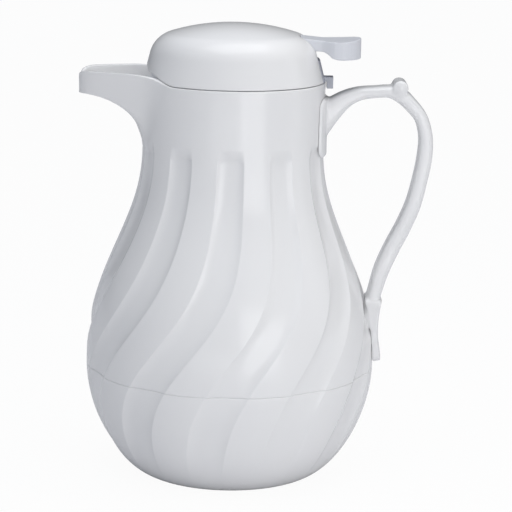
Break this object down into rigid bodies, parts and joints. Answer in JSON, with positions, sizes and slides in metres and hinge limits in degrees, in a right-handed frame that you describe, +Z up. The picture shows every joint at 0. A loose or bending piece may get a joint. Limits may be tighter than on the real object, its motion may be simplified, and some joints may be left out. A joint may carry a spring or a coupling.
{
  "type": "insulated pouring server",
  "caption": "Insulated white plastic coffee server with a fluted pear-shaped body, beak spout, loop handle and domed lid with a thumb lever that raises a sprung pouring valve.",
  "frame": {"origin": "centre of the foot, on the surface that it stands on", "axes": "+Z up along the body's axis, spout towards -X, handle and thumb lever towards +X"},
  "size_m": [0.2068, 0.1702, 0.2668],
  "materials": {
    "white_shell": "glossy moulded polypropylene",
    "pale_plastic": "satin moulded polypropylene",
    "lever_plastic": "satin-gloss moulded acetal",
    "grey_plastic": "satin moulded acetal",
    "seal_rubber": "matt food-grade silicone",
    "steel": "stainless steel",
    "foam": "rigid polyurethane foam"
  },
  "bodies": {
    "server": {"lower_bowl": "white_shell", "upper_shell": "white_shell", "neck_collar": "white_shell", "inner_liner": "pale_plastic", "neck_gasket": "seal_rubber", "foam_insulation": "foam", "foam_fill_plug": "white_shell", "handle": "white_shell", "handle_screws": "steel"},
    "lid": {"lid_base": "pale_plastic", "lid_dome": "white_shell", "lid_catch": "grey_plastic", "dome_screws": "steel", "stopper_cup": "pale_plastic", "stopper_gasket": "seal_rubber", "stopper_screws": "steel", "stem_guide": "pale_plastic", "stem_seal": "seal_rubber", "lever_pin": "steel"},
    "lever": {"thumb_lever": "lever_plastic"},
    "valve": {"valve_stem": "pale_plastic", "stem_cap": "pale_plastic", "valve_disc": "pale_plastic", "valve_seal": "seal_rubber", "stem_nut": "steel", "return_spring": "steel"}
  },
  "joints": [
    {"name": "lid_lift", "type": "slide", "parent": "server", "child": "lid", "axis": [0, 0, 1], "range_m": [0, 0.06]},
    {"name": "lever_press", "type": "hinge", "parent": "lid", "child": "lever", "pos_m": [0.028, 0, 0.25], "axis": [0, 1, 0], "range_deg": [0, 11], "stiffness_Nm_per_rad": 0.8, "springref_deg": -1.72},
    {"name": "valve_slide", "type": "slide", "parent": "lid", "child": "valve", "axis": [0, 0, 1], "range_m": [0, 0.00537], "deforming": ["return_spring"]}
  ],
  "couplings": [
    {"joint": "lever_press", "follows": "valve_slide", "rad_per_m": 35.714}
  ]
}
